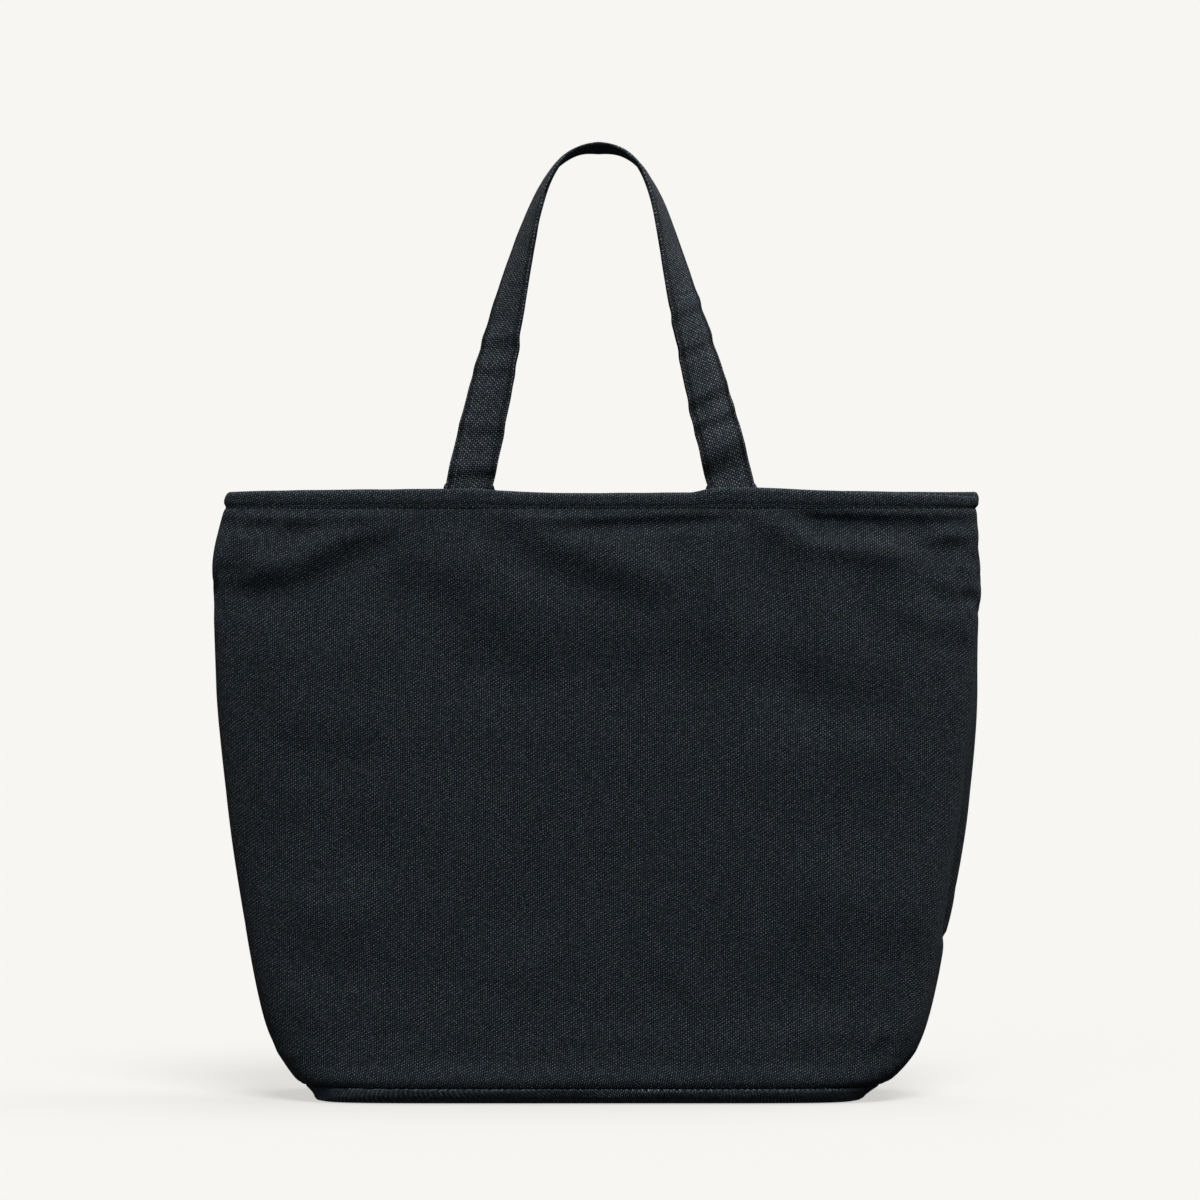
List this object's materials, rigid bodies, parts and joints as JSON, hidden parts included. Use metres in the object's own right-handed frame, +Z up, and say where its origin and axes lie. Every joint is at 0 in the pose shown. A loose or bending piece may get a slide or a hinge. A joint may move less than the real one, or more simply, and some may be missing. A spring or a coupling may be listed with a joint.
{
  "type": "canvas tote bag",
  "caption": "Open-topped canvas tote bag with a boxed base, a turned top hem and two sewn strap handles, for carrying things by hand or on the shoulder.",
  "frame": {"origin": "middle of the flat underside of the base, on the surface that the bag stands on", "axes": "+Z up, +X along the mouth to the right as seen from the front, +Y from the front panel towards the back panel"},
  "size_m": [0.479, 0.1438, 0.598],
  "materials": {
    "canvas": "dark navy plain-weave canvas, matte",
    "hem_canvas": "dark navy canvas, folded and pressed",
    "base_canvas": "dark navy canvas, matte",
    "strap_canvas": "dark navy canvas folded into a strap, slightly worn",
    "binding": "dark navy cotton tape",
    "thread": "navy sewing thread, slight lustre"
  },
  "bodies": {
    "bag": {"back_panel": "canvas", "base_panel": "base_canvas", "back_hem": "hem_canvas", "back_hem_thread": "thread", "left_side_binding": "binding", "right_side_binding": "binding", "left_side_thread": "thread", "right_side_thread": "thread", "base_seam_binding": "binding", "base_seam_thread": "thread", "back_strap_end_left": "strap_canvas", "back_strap_end_right": "strap_canvas", "back_strap_end_thread": "thread"},
    "front": {"front_panel": "canvas", "front_hem": "hem_canvas", "front_hem_thread": "thread", "front_strap_end_left": "strap_canvas", "front_strap_end_right": "strap_canvas", "front_strap_end_thread": "thread"},
    "front_handle": {"front_handle": "strap_canvas", "front_handle_thread": "thread"},
    "back_handle": {"back_handle": "strap_canvas", "back_handle_thread": "thread"}
  },
  "joints": [
    {"name": "mouth_open", "type": "hinge", "parent": "bag", "child": "front", "pos_m": [0, -0.0608, 0.01], "axis": [1, 0, 0], "range_deg": [0, 8]},
    {"name": "front_handle_swing", "type": "hinge", "parent": "front", "child": "front_handle", "pos_m": [0, -0.0268, 0.3845], "axis": [1, 0, 0], "range_deg": [-1.5, 164]},
    {"name": "back_handle_swing", "type": "hinge", "parent": "bag", "child": "back_handle", "pos_m": [0, 0.0268, 0.3845], "axis": [1, 0, 0], "range_deg": [0, 171.5]}
  ]
}
